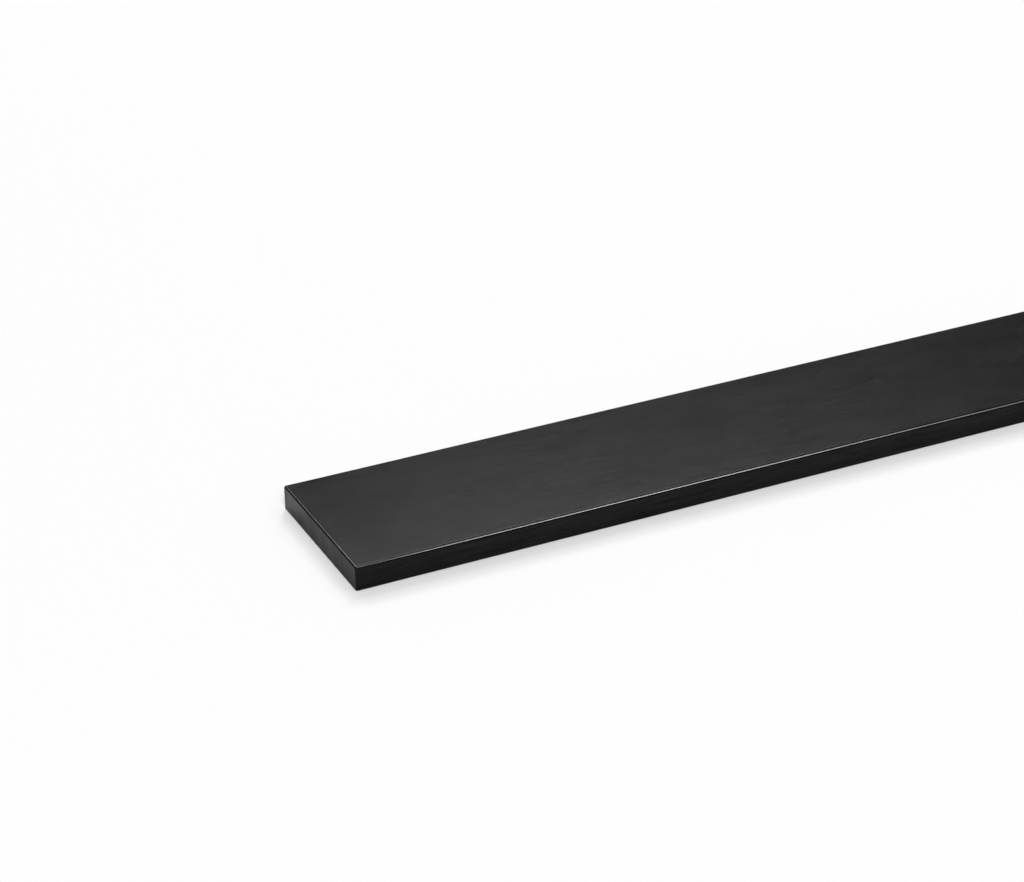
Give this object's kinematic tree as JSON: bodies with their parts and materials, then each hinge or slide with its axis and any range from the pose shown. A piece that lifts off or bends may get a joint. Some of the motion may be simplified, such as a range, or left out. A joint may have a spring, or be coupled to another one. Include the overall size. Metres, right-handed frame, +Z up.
{
  "type": "metal flat bar",
  "caption": "Solid rectangular flat bar with fine rounded long edges and square sawn ends, black satin finish; stock for frames, brackets, rails and trim.",
  "frame": {"origin": "middle of the wide face that the bar lies on", "axes": "+X along the bar's length, away from the end that the picture shows; +Y across its width; +Z up through its thickness"},
  "size_m": [1, 0.04, 0.006],
  "materials": {
    "black_anodised": "satin black anodised over fine lengthwise brushing"
  },
  "bodies": {
    "root": {"flat_bar": "black_anodised"}
  },
  "joints": []
}
